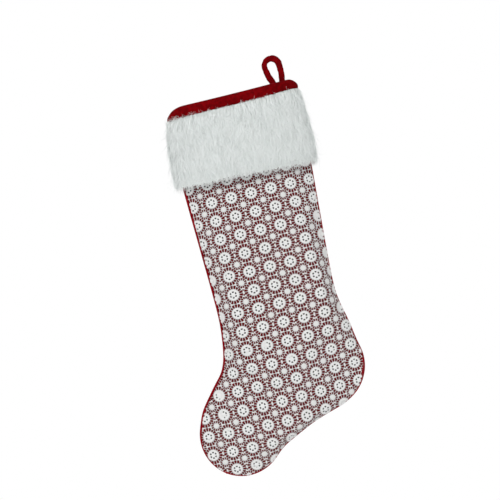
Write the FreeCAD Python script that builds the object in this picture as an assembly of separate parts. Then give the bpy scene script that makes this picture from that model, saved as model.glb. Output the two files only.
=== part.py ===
"""A hanging Christmas stocking: a lace-covered sewn bag with a faux-fur cuff and a strap loop.

All sizes are in millimetres. Shapes are drawn in the stocking's own cutting frame: U runs across
the leg, positive towards the heel, V runs up the leg from 0 at the rim of the mouth, and Y runs
from the decorated front (-Y) to the plain back (+Y), with 0 halfway through the bag. hang() then
turns everything to the pose that it hangs in, with the origin where the hook bears on the loop.
"""
import FreeCAD
import Part

import math
import os

Vector = FreeCAD.Vector

# ---- Driving dimensions -------------------------------------------------------------------
HANG_TILT_DEG = 14.0        # the leg leans this much when the stocking hangs by its corner

MOUTH_WIDTH = 163.0         # across the empty bag at the rim
CALF_WIDTH = 173.0          # at its widest, under the cuff
CALF_DROP = 70.0            # rim to that width
CALF_LEAN = 3.5             # the calf's middle lies this far towards the toe
ANKLE_WIDTH = 153.6         # the narrowest part of the leg
ANKLE_DROP = 269.0          # rim to the ankle
ANKLE_LEAN = 7.2            # the ankle's middle lies this far towards the toe
HEEL_RADIUS = 56.0          # of the round heel
HEEL_CENTRE_OUT = 31.0      # the heel's centre, out from the mouth's middle
HEEL_CENTRE_DROP = 371.0    # and down from the rim
TOE_RADIUS = 55.5           # of the round toe
TOE_CENTRE_OUT = 92.0       # the toe's centre, out from the mouth's middle the other way
TOE_CENTRE_DROP = 430.0     # and down from the rim
TOE_AXIS_DEG = 57.0         # the toe points this much below level, in the cutting frame

MOUTH_DEPTH = 36.0          # front to back, outside the shell, at the rim
LEG_DEPTH = 40.0            # front to back down the leg
FOOT_DEPTH = 42.0           # front to back through the foot and toe

LACE_THICKNESS = 0.8
SHELL_THICKNESS = 0.9       # the fabric that lies under the lace
LAYER_GAP = 0.2             # between cloths that lie on each other
SEAM_FORWARD = 3.0          # the side seam sits this far in front of the bag's middle
LINING_GAP = 2.1            # the seam allowances lie in this space inside the shell
LINING_THICKNESS = 0.6

BINDING_THICKNESS = 1.2     # velvet, folded over the rim
BINDING_OUTER_HEIGHT = 12.0
BINDING_INNER_HEIGHT = 15.0
BINDING_ROUNDING = 1.0
RIM_CLEARANCE = 0.3         # the covered edges stop this far under the binding's fold

CUFF_BOTTOM_DROP = 106.0    # rim to the free lower edge of the fur
CUFF_PILE = 9.5             # how far the fur stands off the shell
CUFF_BACKING = 0.6          # the knitted ground of the fur, where the binding grips it
CUFF_GAP = 1.6              # shell to the cuff's inner side
CUFF_SEAM_END = 6.0         # the cuff's side stitches stop this far above its free edge

THREAD = 0.8                # square section that stands for a line of stitches
STITCH_GAP = 0.1            # a line of stitches lies this far off the cloth it holds

LOOP_FROM_MIDDLE = 63.0     # the hook's place, from the mouth's middle towards the heel
LOOP_HEIGHT = 30.0          # rim to the point that bears on the hook
STRAP_WIDTH = 7.2
STRAP_THICKNESS = 4.0
LOOP_TOP_RADIUS = 9.8       # of the strap's middle line, round the top
LOOP_TOP_OFFSET = -2.0      # the round top is centred this far towards the toe
LOOP_FOOT_LEFT = -7.3       # where the two feet of the loop meet the rim
LOOP_FOOT_RIGHT = 5.9
LOOP_FOLD_CLEARANCE = 0.4   # the folding strap stays this far above the rim
TAIL_LENGTH = 21.0          # the strap's sewn ends, inside the mouth
TAIL_THICKNESS = 2.2
TACK_STITCHES = 6           # bars in the zigzag that holds each end

LABEL_WIDTH = 22.0
LABEL_LENGTH = 34.0
LABEL_THICKNESS = 0.4
LABEL_FROM_MIDDLE = -30.0   # the blank care label hangs inside the back, towards the toe side

# ---- Values worked out from those ---------------------------------------------------------
PARTS = "parts"
BIG = 2000.0
ABOVE_RIM = 20.0            # what is cut away runs on past the rim
BELOW_CUFF = -CUFF_BOTTOM_DROP - 20

LINING_INSET = LACE_THICKNESS + LAYER_GAP + SHELL_THICKNESS + LINING_GAP
SHELL_INSET = LACE_THICKNESS + LAYER_GAP + SHELL_THICKNESS
BINDING_INNER_INSET = LINING_INSET + LINING_THICKNESS + RIM_CLEARANCE
BINDING_OUTER_OFFSET = CUFF_GAP + CUFF_BACKING + LAYER_GAP
TAIL_INSET = BINDING_INNER_INSET + BINDING_THICKNESS + RIM_CLEARANCE
COVERED_RIM = -(BINDING_THICKNESS + RIM_CLEARANCE)
FOLD_HEIGHT = STRAP_THICKNESS / 2 + LOOP_FOLD_CLEARANCE
TOE_CENTRE = (-TOE_CENTRE_OUT, -TOE_CENTRE_DROP)


def mouth_surface_y(inset, u):
    """How far back the bag's back wall is at the rim, at that inset from the outside."""
    half_width, half_depth = MOUTH_WIDTH / 2 - inset, MOUTH_DEPTH / 2 - inset
    return half_depth * math.sqrt(1 - (u / half_width) ** 2)


LOOP_Y = mouth_surface_y(TAIL_INSET + TAIL_THICKNESS / 2, LOOP_FROM_MIDDLE)


def hang(shape):
    """The shape turned from the cutting frame to the hanging pose, with the hook at the origin."""
    moved = shape.copy()
    moved.translate(Vector(-LOOP_FROM_MIDDLE, -LOOP_Y, -LOOP_HEIGHT))
    moved.rotate(Vector(0, 0, 0), Vector(0, 1, 0), -HANG_TILT_DEG)
    return moved


# ---- The bag's shape, as ribs from the toe side to the heel side ---------------------------
def leg_rib(v):
    """(middle, half width, half depth) of the leg at a height, straight from bend to bend."""
    def between(values, drops=(0, CALF_DROP, ANKLE_DROP)):
        lower = 1 if -v < drops[1] else 2
        share = (-v - drops[lower - 1]) / (drops[lower] - drops[lower - 1])
        return values[lower - 1] + (values[lower] - values[lower - 1]) * share

    middle = -between((0, CALF_LEAN, ANKLE_LEAN))
    half_width = between((MOUTH_WIDTH, CALF_WIDTH, ANKLE_WIDTH)) / 2
    return middle, half_width, between((MOUTH_DEPTH, LEG_DEPTH, LEG_DEPTH)) / 2


def heel_point(turn_deg):
    """A point on the round heel; the turn is from straight out, up if positive."""
    turn = math.radians(turn_deg)
    u = HEEL_CENTRE_OUT + HEEL_RADIUS * math.cos(turn)
    return u, -HEEL_CENTRE_DROP + HEEL_RADIUS * math.sin(turn)


def ribs(top):
    """(toe-side end, heel-side end, depth) of each rib, from a height at the rim to the toe."""
    found = []
    middle_drop = (CALF_DROP + ANKLE_DROP) / 2
    for v in (top, -CALF_DROP, -middle_drop, -ANKLE_DROP):
        middle, half_width, half_depth = leg_rib(v)
        found.append(((middle - half_width, v), (middle + half_width, v), 2 * half_depth))
    ankle = found[-1][0]
    heel = (HEEL_CENTRE_OUT, -HEEL_CENTRE_DROP)
    foot = [
        ((-1.3, -26), (heel[0] + 41, heel[1] + 76)),
        ((-5, -52), (heel[0] + 47.5, heel[1] + 50)),
        ((-8.5, -66), heel_point(25)),
        ((-14, -78), heel_point(5)),
        ((-20, -85), heel_point(-17)),
        ((-26, -91), heel_point(-44)),
        ((-33, -99.5), heel_point(-72)),
        ((-40, -108), (heel[0] - 8, heel[1] - 60)),
        ((-47.5, -117), (heel[0] - 29.5, heel[1] - 67)),
        ((-52, -124.5), (heel[0] - 53, heel[1] - 78)),
    ]
    for (out, down), heel_end in foot:
        found.append(((ankle[0] + out, ankle[1] + down), heel_end, FOOT_DEPTH))
    return found


def toe_rib(turn_deg, inset):
    """A rib of the round toe, turned that far from the middle of its half circle to its tip."""
    axis = math.radians(180 + TOE_AXIS_DEG)
    along = (math.cos(axis), math.sin(axis))
    across = (-along[1], along[0])
    turn = math.radians(turn_deg)
    radius = TOE_RADIUS - inset
    middle = [c + radius * math.sin(turn) * a for c, a in zip(TOE_CENTRE, along)]
    half_width = radius * math.cos(turn)
    half_depth = (FOOT_DEPTH / 2 - inset) * math.cos(turn)
    heel_end = [m + half_width * a for m, a in zip(middle, across)]
    return middle, heel_end, half_depth


def oval(middle, heel_end, half_depth):
    """A closed oval wire round a rib, starting at its heel-side end."""
    centre = Vector(middle[0], 0, middle[1])
    end = Vector(heel_end[0], 0, heel_end[1])
    return Part.Wire(Part.Ellipse(end, centre + Vector(0, half_depth, 0), centre).toShape())


TOE_TURNS_DEG = (0, 22, 42, 58, 71, 82, 90)


def sections(inset, rim):
    """(middle, heel-side end, half depth) of each oval down the leg, foot and toe, at that inset."""
    found = []
    for toe_side, heel_side, depth in ribs(rim):
        middle = [(a + b) / 2 for a, b in zip(toe_side, heel_side)]
        half = math.dist(toe_side, heel_side) / 2
        share = (half - inset) / half
        heel_end = [m + (h - m) * share for m, h in zip(middle, heel_side)]
        found.append((middle, heel_end, depth / 2 - inset))
    return found + [toe_rib(turn, inset) for turn in TOE_TURNS_DEG]


def arc_poles(turns):
    """(cosine, sine, weight) of the five poles of part of a circle, as two exact conic spans."""
    quarter = (turns[1] - turns[0]) / 4
    poles = []
    for step in range(5):
        turn = turns[0] + quarter * step
        weight = math.cos(quarter) if step % 2 else 1
        poles.append((math.cos(turn) / weight, math.sin(turn) / weight, weight))
    return poles


def skin(inset, rim, turns):
    """The bag's surface at an inset, from the rim to the toe's tip, round part of the ovals."""
    poles, weights = [], []
    for middle, heel_end, half_depth in sections(inset, rim):
        reach = [h - m for m, h in zip(middle, heel_end)]
        row = []
        for cosine, sine, _ in arc_poles(turns):
            u, v = (m + r * cosine for m, r in zip(middle, reach))
            row.append(Vector(u, half_depth * sine, v))
        poles.append(row)
        weights.append([weight for _, _, weight in arc_poles(turns)])
    spans = len(poles) - 2
    surface = Part.BSplineSurface()
    surface.buildFromPolesMultsKnots(
        poles, [3] + [1] * (spans - 1) + [3], [3, 2, 3],
        list(range(spans + 1)), [0, 1, 2], False, False, 2, 2, weights,
    )
    return surface.toShape(), poles


def edge_between(face, start, end):
    """The face's edge that runs between those two points."""
    for edge in face.Edges:
        places = [vertex.Point for vertex in edge.Vertexes]
        if all(min(place.distanceToPoint(p) for p in places) < 1e-4 for place in (start, end)):
            return edge


def solid_from(faces):
    """One closed solid from faces that meet edge to edge."""
    shell = Part.makeShell(faces)
    shell.sewShape()
    solid = Part.makeSolid(shell)
    return solid if solid.Volume > 0 else solid.reversed()


def cloth(outer, inner, turns, rim=COVERED_RIM):
    """The cloth between two insets, from the rim to the toe's tip, round part of the ovals.

    turns are angles round each oval: 0 is the heel side, a quarter turn is the back's middle.
    """
    outside, outer_rows = skin(outer, rim, turns)
    inside, inner_rows = skin(inner, rim, turns)
    faces = [outside, inside]
    for column in (0, -1):
        sides = []
        for face, rows in ((outside, outer_rows), (inside, inner_rows)):
            sides.append(edge_between(face, rows[0][column], rows[-1][column]))
        faces.append(Part.makeRuledSurface(*sides))
    rims = []
    for face, rows in ((outside, outer_rows), (inside, inner_rows)):
        rims.append(edge_between(face, rows[0][0], rows[0][-1]))
    faces.append(Part.makeRuledSurface(*rims))
    return solid_from(faces)


def slab(u=(-BIG, BIG), y=(-BIG, BIG), v=(-BIG, BIG)):
    """A block between those limits."""
    corner = Vector(u[0], y[0], v[0])
    return Part.makeBox(u[1] - u[0], y[1] - y[0], v[1] - v[0], corner)


def leg_oval(v, inset):
    """The level oval round the upper leg at a height, moved in by inset, or out."""
    middle, half_width, half_depth = leg_rib(v)
    return oval((middle, v), (middle + half_width - inset, v), half_depth - inset)


def leg(inset, top=ABOVE_RIM, bottom=BELOW_CUFF):
    """The upper leg as a solid between two heights, moved in by inset, or out."""
    bends = [-CALF_DROP] if bottom < -CALF_DROP < top else []
    return Part.makeLoft([leg_oval(v, inset) for v in [top, *bends, bottom]], True, True)


def band(outer, inner, top, bottom):
    """A ring round the leg between two insets and two heights."""
    return leg(outer, top, bottom).cut(leg(inner))


SEAM_TURN = math.asin(2 * SEAM_FORWARD / LEG_DEPTH)
SEAM_GAP_TURN = LAYER_GAP / LEG_DEPTH
FRONT = (-SEAM_TURN - SEAM_GAP_TURN, SEAM_TURN + SEAM_GAP_TURN - math.pi)
BACK = (-SEAM_TURN + SEAM_GAP_TURN, math.pi + SEAM_TURN - SEAM_GAP_TURN)
FRONT_HALF = (-SEAM_GAP_TURN, SEAM_GAP_TURN - math.pi)
BACK_HALF = (SEAM_GAP_TURN, math.pi - SEAM_GAP_TURN)


# ---- The bag's cloths ----------------------------------------------------------------------
def lace_overlay():
    return cloth(0, LACE_THICKNESS, FRONT)


def front_panel():
    return cloth(LACE_THICKNESS + LAYER_GAP, SHELL_INSET, FRONT)


def back_panel():
    return cloth(0, SHELL_INSET, BACK)


def lining(side):
    return cloth(LINING_INSET, LINING_INSET + LINING_THICKNESS, side)


def side_seam(turn):
    """The stitches down the heel side and up from the toe on the other, inside the shell."""
    inset = SHELL_INSET + (LINING_GAP - THREAD) / 2
    half_turn = THREAD / LEG_DEPTH
    lines = []
    for side in (turn, math.pi - turn):
        lines.append(cloth(inset, inset + THREAD, (side - half_turn, side + half_turn)))
    return Part.makeCompound(lines)


# ---- The rim and the cuff ------------------------------------------------------------------
def mouth_binding():
    """A strip folded over the rim: an outer leg, an inner leg and the fold between them."""
    outside = -(BINDING_OUTER_OFFSET + BINDING_THICKNESS)
    inside = BINDING_INNER_INSET + BINDING_THICKNESS
    block = band(outside, inside, 0, -BINDING_INNER_HEIGHT)
    top_edges = [e for e in block.Edges if e.BoundBox.ZMin > -1e-3]
    block = block.makeFillet(BINDING_ROUNDING, top_edges)
    rim_space = leg(-BINDING_OUTER_OFFSET, -BINDING_THICKNESS).cut(leg(BINDING_INNER_INSET))
    under_outer_leg = slab(v=(-BIG, -BINDING_OUTER_HEIGHT)).cut(leg(0))
    return block.cut(rim_space).cut(under_outer_leg)


def binding_stitching():
    inner = -(BINDING_OUTER_OFFSET + BINDING_THICKNESS + STITCH_GAP)
    bottom = -BINDING_OUTER_HEIGHT + 2 * THREAD
    return band(inner - THREAD, inner, bottom + THREAD, bottom)


def cuff(side):
    """Half of the fur tube: gripped flat by the binding, then full, and rounded at its free edge."""
    flat = CUFF_GAP + CUFF_BACKING
    grip = -BINDING_OUTER_HEIGHT
    profile = [
        (COVERED_RIM, flat),
        (grip, flat),
        (grip - 4, flat + 0.55 * (CUFF_PILE - flat)),
        (grip - 14, flat + 0.9 * (CUFF_PILE - flat)),
        (-CALF_DROP, CUFF_PILE),
        (10 - CUFF_BOTTOM_DROP, 0.95 * CUFF_PILE),
        (3 - CUFF_BOTTOM_DROP, flat + 0.6 * (CUFF_PILE - flat)),
        (-CUFF_BOTTOM_DROP, flat),
    ]
    outside = Part.makeLoft([leg_oval(v, -offset) for v, offset in profile], True, True)
    return outside.cut(leg(-CUFF_GAP)).common(slab(y=side))


def cuff_top_seam():
    middle = -BINDING_OUTER_HEIGHT / 2
    inset = -(CUFF_GAP + THREAD) / 2
    return band(inset, inset + THREAD, middle + THREAD / 2, middle - THREAD / 2)


def cuff_side_seams():
    inset = -(CUFF_GAP + THREAD) / 2
    ring = band(inset, inset + THREAD, -BINDING_OUTER_HEIGHT, CUFF_SEAM_END - CUFF_BOTTOM_DROP)
    return ring.common(slab(y=(-THREAD / 2, THREAD / 2)))


# ---- The hanging loop ----------------------------------------------------------------------
def strap_oval(place, heading_deg):
    """The strap's oval section at a place, square to its heading."""
    across = math.radians(heading_deg + 90)
    centre = Vector(place[0], LOOP_Y, place[1])
    wide = centre + Vector(math.cos(across), 0, math.sin(across)) * (STRAP_WIDTH / 2)
    thick = centre + Vector(0, STRAP_THICKNESS / 2, 0)
    return Part.Wire(Part.Ellipse(wide, thick, centre).toShape())


def loop_foot_arc(foot_out, side):
    """A leg of the loop: an arc from the round top's side down to its foot. Returns ovals."""
    top_out = LOOP_TOP_OFFSET + side * LOOP_TOP_RADIUS
    top_v = LOOP_HEIGHT + STRAP_WIDTH / 2 - LOOP_TOP_RADIUS
    drop = top_v - FOLD_HEIGHT
    inward = side * (top_out - foot_out)
    radius = (inward ** 2 + drop ** 2) / (2 * inward)
    turn = math.asin(drop / radius)
    ovals = []
    for step in range(1, 6):
        angle = turn * step / 5
        u = LOOP_FROM_MIDDLE + top_out - side * radius * (1 - math.cos(angle))
        v = top_v - radius * math.sin(angle)
        ovals.append(strap_oval((u, v), 90 + side * math.degrees(angle)))
    return ovals


def hanging_loop():
    """The strap from one foot over the round top to the other, each foot round about the fold."""
    top_v = LOOP_HEIGHT + STRAP_WIDTH / 2 - LOOP_TOP_RADIUS
    toe_leg = loop_foot_arc(LOOP_FOOT_LEFT, -1)
    heel_leg = loop_foot_arc(LOOP_FOOT_RIGHT, 1)
    over = []
    for turn in range(180, -1, -20):
        angle = math.radians(turn)
        u = LOOP_FROM_MIDDLE + LOOP_TOP_OFFSET + LOOP_TOP_RADIUS * math.cos(angle)
        v = top_v + LOOP_TOP_RADIUS * math.sin(angle)
        over.append(strap_oval((u, v), turn - 90))
    strap = Part.makeLoft(toe_leg[::-1] + over + heel_leg, True, False)
    strap = strap.common(slab(v=(FOLD_HEIGHT, BIG)))
    feet = []
    for foot in (LOOP_FOOT_LEFT, LOOP_FOOT_RIGHT):
        start = Vector(LOOP_FROM_MIDDLE + foot - STRAP_WIDTH / 2, LOOP_Y, FOLD_HEIGHT)
        feet.append(Part.makeCylinder(STRAP_THICKNESS / 2, STRAP_WIDTH, start, Vector(1, 0, 0)))
    return strap.fuse(feet)


def loop_tails():
    """The strap's two ends, flat against the binding inside the back of the mouth."""
    wall = band(TAIL_INSET, TAIL_INSET + TAIL_THICKNESS, 0, -TAIL_LENGTH).common(slab(y=(0, BIG)))
    tails = []
    for foot in (LOOP_FOOT_LEFT, LOOP_FOOT_RIGHT):
        middle = LOOP_FROM_MIDDLE + foot
        tails.append(wall.common(slab(u=(middle - STRAP_WIDTH / 2, middle + STRAP_WIDTH / 2))))
    return Part.makeCompound(tails)


def loop_bar_tack():
    """Bars of thread across each sewn end of the strap."""
    inset = TAIL_INSET + TAIL_THICKNESS + STITCH_GAP
    wall = band(inset, inset + THREAD, 0, -TAIL_LENGTH).common(slab(y=(0, BIG)))
    bars = []
    for foot in (LOOP_FOOT_LEFT, LOOP_FOOT_RIGHT):
        middle = LOOP_FROM_MIDDLE + foot
        for count in range(TACK_STITCHES):
            top = -TAIL_LENGTH + 2 + 2 * THREAD * (count + 1)
            across = (middle - STRAP_WIDTH / 2 + 1, middle + STRAP_WIDTH / 2 - 1)
            bars.append(wall.common(slab(u=across, v=(top - THREAD, top))))
    return Part.makeCompound(bars)


def care_label():
    """A blank label that hangs from under the binding's inner edge, inside the back."""
    top = -BINDING_INNER_HEIGHT - RIM_CLEARANCE
    inset = LINING_INSET + LINING_THICKNESS + RIM_CLEARANCE
    across = (LABEL_FROM_MIDDLE - LABEL_WIDTH / 2, LABEL_FROM_MIDDLE + LABEL_WIDTH / 2)
    ring = band(inset, inset + LABEL_THICKNESS, top, top - LABEL_LENGTH)
    return ring.common(slab(u=across, y=(0, BIG)))


PIECES = {
    "hanging_loop": hanging_loop,
    "loop_tails": loop_tails,
    "loop_bar_tack": loop_bar_tack,
    "mouth_binding": mouth_binding,
    "binding_stitching": binding_stitching,
    "cuff_front": lambda: cuff((-BIG, -LAYER_GAP / 2)),
    "cuff_back": lambda: cuff((LAYER_GAP / 2, BIG)),
    "cuff_top_seam": cuff_top_seam,
    "cuff_side_seams": cuff_side_seams,
    "lace_overlay": lace_overlay,
    "front_panel": front_panel,
    "back_panel": back_panel,
    "shell_seam": lambda: side_seam(-SEAM_TURN),
    "lining_front": lambda: lining(FRONT_HALF),
    "lining_back": lambda: lining(BACK_HALF),
    "lining_seam": lambda: side_seam(SEAM_TURN),
    "care_label": care_label,
}

os.makedirs(PARTS, exist_ok=True)
for name, make in PIECES.items():
    piece = hang(make())
    piece.exportStep(f"{PARTS}/{name}.step")
    solids = len(piece.Solids)
    print(f"{name:18s} valid {piece.isValid()}  solids {solids:3d}  {piece.Volume / 1000:8.2f} cm3")
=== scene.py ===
# %% [markdown]
# # A hanging christmas stocking
# The stocking is a sewn bag with a lace front, a velvet back, a fur cuff, a velvet binding round
# its mouth and a strap loop. The frame holds its real sizes and its one joint, where the loop
# folds at the rim. Each piece here is made in metres in the cutting frame, where the leg stands
# upright, and is then turned to the pose that the stocking hangs in.

# %% Load the frame
import math

import bpy
import numpy as np
from mathutils import Matrix, Vector
from mathutils.bvhtree import BVHTree
from mathutils.geometry import delaunay_2d_cdt
from mathutils.interpolate import poly_3d_calc


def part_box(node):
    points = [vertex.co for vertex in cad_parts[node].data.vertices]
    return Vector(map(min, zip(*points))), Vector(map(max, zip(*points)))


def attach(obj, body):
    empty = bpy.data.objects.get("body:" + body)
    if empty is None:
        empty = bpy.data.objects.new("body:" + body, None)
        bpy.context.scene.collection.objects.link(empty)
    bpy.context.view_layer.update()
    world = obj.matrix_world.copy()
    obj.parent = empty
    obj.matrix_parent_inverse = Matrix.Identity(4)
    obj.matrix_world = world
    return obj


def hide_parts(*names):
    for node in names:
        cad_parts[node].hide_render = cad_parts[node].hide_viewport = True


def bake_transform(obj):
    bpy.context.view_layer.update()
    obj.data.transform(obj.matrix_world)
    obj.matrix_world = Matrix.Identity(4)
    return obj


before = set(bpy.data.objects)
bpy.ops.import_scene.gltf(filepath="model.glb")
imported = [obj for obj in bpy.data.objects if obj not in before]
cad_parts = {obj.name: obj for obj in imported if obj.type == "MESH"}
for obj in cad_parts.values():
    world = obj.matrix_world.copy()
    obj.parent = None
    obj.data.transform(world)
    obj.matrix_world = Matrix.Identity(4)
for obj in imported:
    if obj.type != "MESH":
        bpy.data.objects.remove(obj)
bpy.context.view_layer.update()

MM = 0.001
rng = np.random.default_rng(12)

# %% [markdown]
# ## The cutting frame
# U runs across the leg towards the heel, V runs up from the rim of the mouth, and Y runs from the
# lace front to the velvet back. The sizes are the pattern maker's: widths, drops from the rim and
# the radii of the round heel and toe. The bag's middle plane comes from the frame.

# %% Sizes and the turn from the cutting frame to the hanging pose
HANG_TILT = math.radians(14)
MOUTH_WIDTH, CALF_WIDTH, ANKLE_WIDTH = 163 * MM, 173 * MM, 153.6 * MM
CALF_DROP, ANKLE_DROP = 70 * MM, 269 * MM
CALF_LEAN, ANKLE_LEAN = 3.5 * MM, 7.2 * MM
HEEL_RADIUS, HEEL_CENTRE = 56 * MM, (31 * MM, -371 * MM)
TOE_RADIUS, TOE_CENTRE, TOE_AXIS = 55.5 * MM, (-92 * MM, -430 * MM), math.radians(180 + 57)
MOUTH_DEPTH, LEG_DEPTH, FOOT_DEPTH = 36 * MM, 40 * MM, 42 * MM
HOOK_FROM_MIDDLE, HOOK_HEIGHT = 63 * MM, 30 * MM

rim_low, rim_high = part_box("mouth_binding")
BAG_MIDDLE_Y = (rim_low[1] + rim_high[1]) / 2
HANG = (
    Matrix.Rotation(-HANG_TILT, 4, "Y")
    @ Matrix.Translation((-HOOK_FROM_MIDDLE, BAG_MIDDLE_Y, -HOOK_HEIGHT))
)
print("the bag's middle is at y =", round(BAG_MIDDLE_Y, 4))

# %% [markdown]
# ## Small helpers
# Every mesh goes through one function that makes the object, smooths it and puts it in the scene.
# A lofted piece is a list of rings with the same number of points, joined ring to ring.

# %% Meshes from rings
def link_mesh(mesh, finish):
    """An object in the scene for a new mesh, smooth and with its finish."""
    mesh.shade_smooth()
    piece = bpy.data.objects.new(mesh.name, mesh)
    bpy.context.scene.collection.objects.link(piece)
    if finish:
        mesh.materials.append(finish)
    return piece


def add_mesh(name, points, faces, finish=None):
    mesh = bpy.data.meshes.new(name)
    mesh.from_pydata([tuple(p) for p in points], [], [tuple(f) for f in faces])
    mesh.update()
    return link_mesh(mesh, finish)


def add_many_quads(name, points, faces, finish):
    """The same as add_mesh for a great many quads, filled from arrays because that is far faster."""
    mesh = bpy.data.meshes.new(name)
    mesh.vertices.add(len(points))
    mesh.vertices.foreach_set("co", points.astype(np.float32).ravel())
    mesh.loops.add(faces.size)
    mesh.loops.foreach_set("vertex_index", faces.astype(np.int32).ravel())
    mesh.polygons.add(len(faces))
    mesh.polygons.foreach_set("loop_start", np.arange(0, faces.size, 4, dtype=np.int32))
    mesh.update(calc_edges=True)
    return link_mesh(mesh, finish)


def ring_faces(rows, count, closed=True, flip=False):
    """Quads between rows of count points each, round a tube or along a strip."""
    faces = []
    for row in range(rows - 1):
        for k in range(count if closed else count - 1):
            a, b = row * count + k, row * count + (k + 1) % count
            quad = (a, b, b + count, a + count)
            faces.append(quad[::-1] if flip else quad)
    return faces


def end_caps(rows, count):
    """The two faces that close a tube made of rows of count points."""
    last = (rows - 1) * count
    return [tuple(range(count))[::-1], tuple(range(last, last + count))]


def select_only(piece):
    bpy.ops.object.select_all(action="DESELECT")
    piece.select_set(True)
    bpy.context.view_layer.objects.active = piece


def apply_modifiers(piece):
    select_only(piece)
    for modifier in list(piece.modifiers):
        bpy.ops.object.modifier_apply(modifier=modifier.name)


def face_outward(piece):
    """Turns the faces of a closed piece to point out of it."""
    select_only(piece)
    bpy.ops.object.mode_set(mode="EDIT")
    bpy.ops.mesh.select_all(action="SELECT")
    bpy.ops.mesh.normals_make_consistent(inside=False)
    bpy.ops.object.mode_set(mode="OBJECT")


def smooth_once(piece):
    modifier = piece.modifiers.new("smooth", "SUBSURF")
    modifier.levels = modifier.render_levels = 1


def solidify(piece, thickness, offset=-1.0):
    modifier = piece.modifiers.new("thickness", "SOLIDIFY")
    modifier.thickness, modifier.offset = thickness, offset
    modifier.use_quality_normals = True


def hang(piece):
    """Turns a finished piece from the cutting frame to the hanging pose, in its mesh."""
    piece.data.transform(HANG)
    piece.data.update()


def add_uv(piece, name, values):
    """Gives each corner of the mesh its point's pair of values, as a UV map."""
    layer = piece.data.uv_layers.new(name=name)
    corners = np.empty(len(piece.data.loops), np.int32)
    piece.data.loops.foreach_get("vertex_index", corners)
    layer.data.foreach_set("uv", np.asarray(values, np.float32)[corners].ravel())


# %% [markdown]
# ## Shader maths
# A finish is a node tree, and its maths reads best as plain expressions. One class wraps a socket
# and gives it the operators; another starts a finish and makes any other node.

# %% Sockets with operators
def operator(operation, swapped=False):
    """A method that adds a Math node, for one of Python's operators."""
    def apply(self, other):
        return self.math(operation, other, swapped)
    return apply


class Value:
    def __init__(self, finish, socket):
        self.finish, self.socket = finish, socket

    def math(self, operation, other=None, swapped=False):
        pair = (other, self) if swapped else (self, other)
        inputs = {k: v for k, v in enumerate(pair) if v is not None}
        return self.finish.node("Math", {"operation": operation}, inputs)

    __add__ = operator("ADD")
    __radd__ = operator("ADD")
    __sub__ = operator("SUBTRACT")
    __rsub__ = operator("SUBTRACT", swapped=True)
    __mul__ = operator("MULTIPLY")
    __rmul__ = operator("MULTIPLY")

    def step(self, low, high):
        """0 below low and 1 above high, smooth between."""
        inputs = {"Value": self, "From Min": low, "From Max": high}
        return self.finish.node("MapRange", {"interpolation_type": "SMOOTHSTEP"}, inputs)


class Finish:
    def __init__(self, name, roughness=0.8, sheen=0.0, sheen_tint=(1, 1, 1), specular=0.5):
        self.material = bpy.data.materials.new(name)
        self.material.use_nodes = True
        self.tree = self.material.node_tree
        self.shader = self.tree.nodes["Principled BSDF"]
        self.shader.inputs["Roughness"].default_value = roughness
        self.shader.inputs["Sheen Weight"].default_value = sheen
        self.shader.inputs["Sheen Tint"].default_value = (*sheen_tint, 1)
        self.shader.inputs["Specular IOR Level"].default_value = specular

    def node(self, kind, settings=None, inputs=None, output=0):
        node = self.tree.nodes.new("ShaderNode" + kind)
        for key, value in (settings or {}).items():
            setattr(node, key, value)
        for key, value in (inputs or {}).items():
            if isinstance(value, Value):
                self.tree.links.new(value.socket, node.inputs[key])
            else:
                node.inputs[key].default_value = value
        return Value(self, node.outputs[output])

    def place(self):
        return self.node("TexCoord", output="Object")

    def uv(self, name):
        return self.node("UVMap", {"uv_map": name})

    def split(self, vector):
        node = self.node("SeparateXYZ", inputs={0: vector}).socket.node
        return [Value(self, socket) for socket in node.outputs]

    def noise(self, scale, detail=2.0, vector=None, roughness=0.5):
        inputs = {"Vector": vector or self.place(), "Scale": scale, "Detail": detail}
        inputs["Roughness"] = roughness
        return self.node("TexNoise", inputs=inputs)

    def mix(self, share, first, second):
        pair = [c if isinstance(c, Value) else (*c, 1) for c in (first, second)]
        inputs = {0: share, 6: pair[0], 7: pair[1]}
        return self.node("Mix", {"data_type": "RGBA"}, inputs, 2)

    def set(self, socket, value):
        self.tree.links.new(value.socket, self.shader.inputs[socket])

    def bump(self, height, strength, distance):
        inputs = {"Height": height, "Strength": strength, "Distance": distance}
        self.set("Normal", self.node("Bump", inputs=inputs))


# %% [markdown]
# ## Finishes
# Velvet is a deep red with a soft sheen at grazing angles, patches where the nap lies another way,
# and a fine pile. The red backing under the lace is a flatter, darker cloth with a visible weave.

# %% Velvet and backing
def velvet(name, deep, bright):
    finish = Finish(name, 0.95, 0.05, (0.9, 0.1, 0.15), 0.03)
    patches = finish.noise(28, 2) * 0.3 + finish.noise(240, 2) * 0.7
    crush = finish.noise(900, 2)
    share = (patches * 0.75 + crush * 0.25).step(0.35, 0.68)
    finish.set("Base Color", finish.mix(share, deep, bright))
    finish.set("Roughness", 0.78 + crush * 0.18)
    finish.bump(crush * 0.5 + finish.noise(3200, 2) * 0.5 + patches, 0.5, 0.0006)
    return finish.material


def woven(name, dark, light, threads_per_metre, roughness=0.8, sheen=0.1):
    finish = Finish(name, roughness, sheen, (1, 1, 1), 0.25)
    x, y, z = finish.split(finish.place())
    turn = 2 * math.pi * threads_per_metre
    across = ((x + y) * turn).math("SINE")
    along = (z * turn).math("SINE")
    weave = across * along * 0.5 + 0.5
    tone = finish.noise(70, 3)
    finish.set("Base Color", finish.mix((weave * 0.4 + tone * 0.6).step(0.2, 0.8), dark, light))
    finish.set("Roughness", roughness - 0.1 + tone * 0.2)
    finish.bump(weave * 0.7 + finish.noise(1500, 1) * 0.3, 0.4, 0.0004)
    return finish.material


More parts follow.
